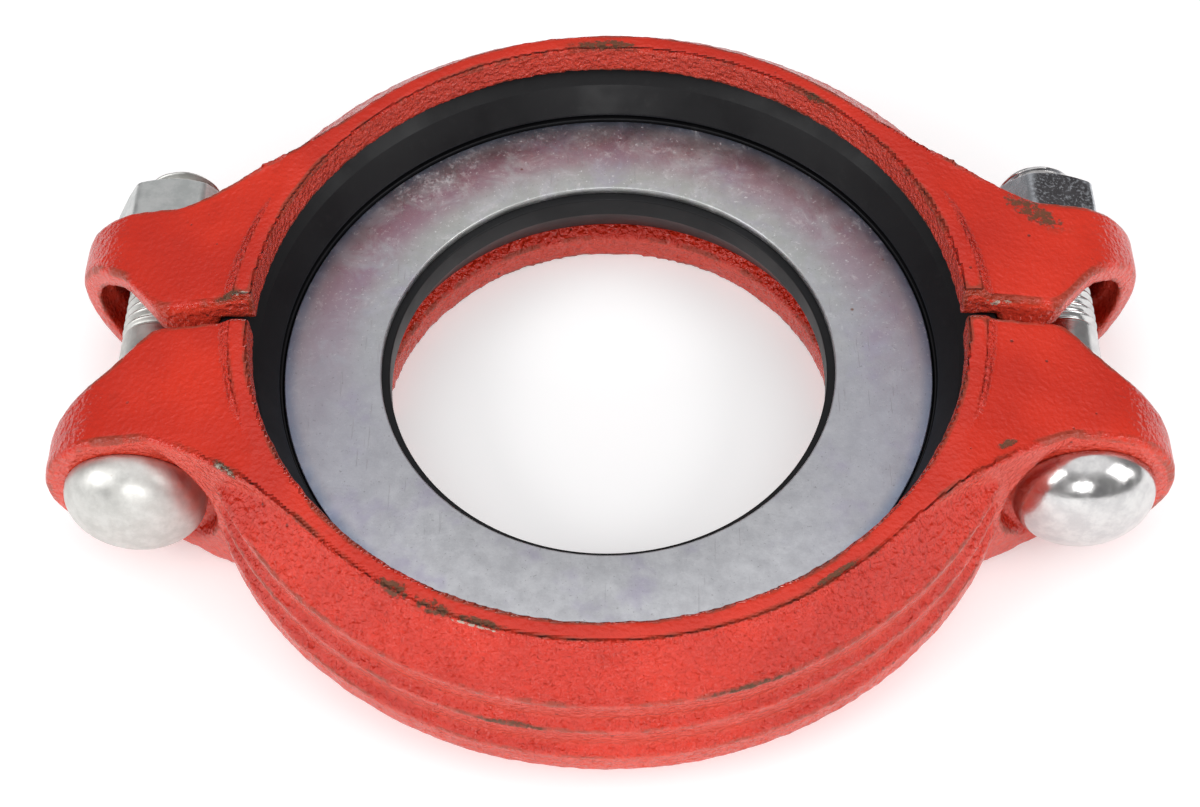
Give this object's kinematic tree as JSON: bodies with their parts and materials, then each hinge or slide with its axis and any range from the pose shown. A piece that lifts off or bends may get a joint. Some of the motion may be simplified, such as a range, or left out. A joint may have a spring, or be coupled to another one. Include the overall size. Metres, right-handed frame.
{
  "type": "grooved pipe coupling",
  "caption": "Split-housing reducing coupling that joins a large grooved pipe to a smaller one, clamped by track-head bolts round a rubber gasket and a steel washer.",
  "frame": {"origin": "on the pipe axis at the small-end face of the housing", "axes": "+Z along the pipe axis toward the large pipe, +X across the bolt axes, +Y along the bolts from heads to nuts"},
  "size_m": [0.2604, 0.1972, 0.0505],
  "materials": {
    "red_enamel": "semi-gloss orange-red enamel on ductile iron",
    "black_rubber": "moulded satin rubber",
    "zinc_washer": "zinc plate with faint iridescent passivation",
    "zinc_bolt": "bright zinc plate",
    "zinc_nut": "zinc plate"
  },
  "bodies": {
    "front_half": {"housing_front": "red_enamel", "gasket": "black_rubber", "bolt_left": "zinc_bolt", "bolt_right": "zinc_bolt"},
    "rear_half": {"housing_rear": "red_enamel"},
    "left_nut": {"nut_left": "zinc_nut"},
    "right_nut": {"nut_right": "zinc_nut"},
    "washer": {"steel_washer": "zinc_washer"}
  },
  "joints": [
    {"name": "rear_half_slide", "type": "slide", "parent": "front_half", "child": "rear_half", "axis": [0, 1, 0], "range_m": [0, 0.018]},
    {"name": "left_nut_turn", "type": "hinge", "parent": "rear_half", "child": "left_nut", "pos_m": [-0.1092, 0.0425, 0.0245], "axis": [0, 1, 0], "range_deg": [0, 2560]},
    {"name": "right_nut_turn", "type": "hinge", "parent": "rear_half", "child": "right_nut", "pos_m": [0.1092, 0.0425, 0.0245], "axis": [0, 1, 0], "range_deg": [0, 2560]},
    {"name": "washer_lift", "type": "slide", "parent": "front_half", "child": "washer", "axis": [0, 0, 1], "range_m": [0, 0.05]}
  ],
  "couplings": [
    {"joint": "left_nut_turn", "follows": "rear_half_slide", "rad_per_m": 2473.7},
    {"joint": "right_nut_turn", "follows": "rear_half_slide", "rad_per_m": 2473.7}
  ]
}
